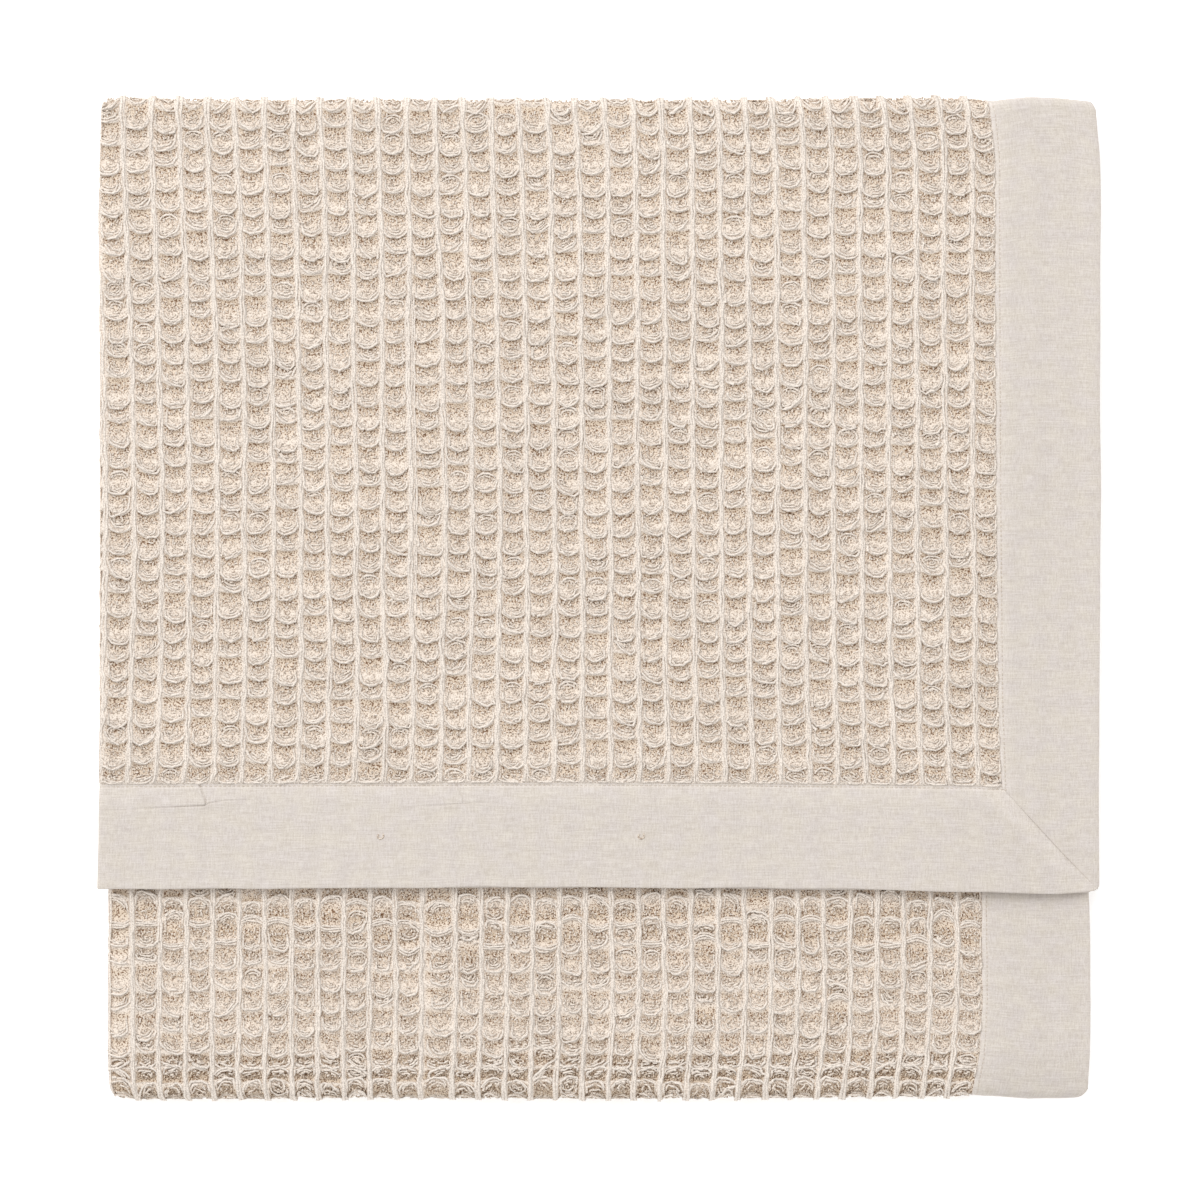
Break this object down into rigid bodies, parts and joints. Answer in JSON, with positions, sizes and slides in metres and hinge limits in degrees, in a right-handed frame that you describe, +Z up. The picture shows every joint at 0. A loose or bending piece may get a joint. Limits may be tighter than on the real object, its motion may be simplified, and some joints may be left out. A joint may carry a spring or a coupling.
{
  "type": "waffle weave cotton blanket",
  "caption": "Throw blanket of waffle weave cotton with a wide mitred cloth binding, doubled and laid back and forth into a flat square bundle.",
  "frame": {"origin": "middle of the underside of the folded blanket", "axes": "+Z up, +Y towards the back fold, +X towards the bound edges; the crease of the doubled cloth is at -X"},
  "size_m": [0.652, 0.655, 0.0342],
  "materials": {
    "waffle_cotton": "matt waffle weave cotton, warm sand",
    "binding_cloth": "matt plain weave linen and cotton, pale sand"
  },
  "bodies": {
    "root": {"waffle_panel": "waffle_cotton", "binding_side_a": "binding_cloth", "binding_side_b": "binding_cloth", "binding_hem_front": "binding_cloth", "binding_hem_back": "binding_cloth"}
  },
  "joints": []
}
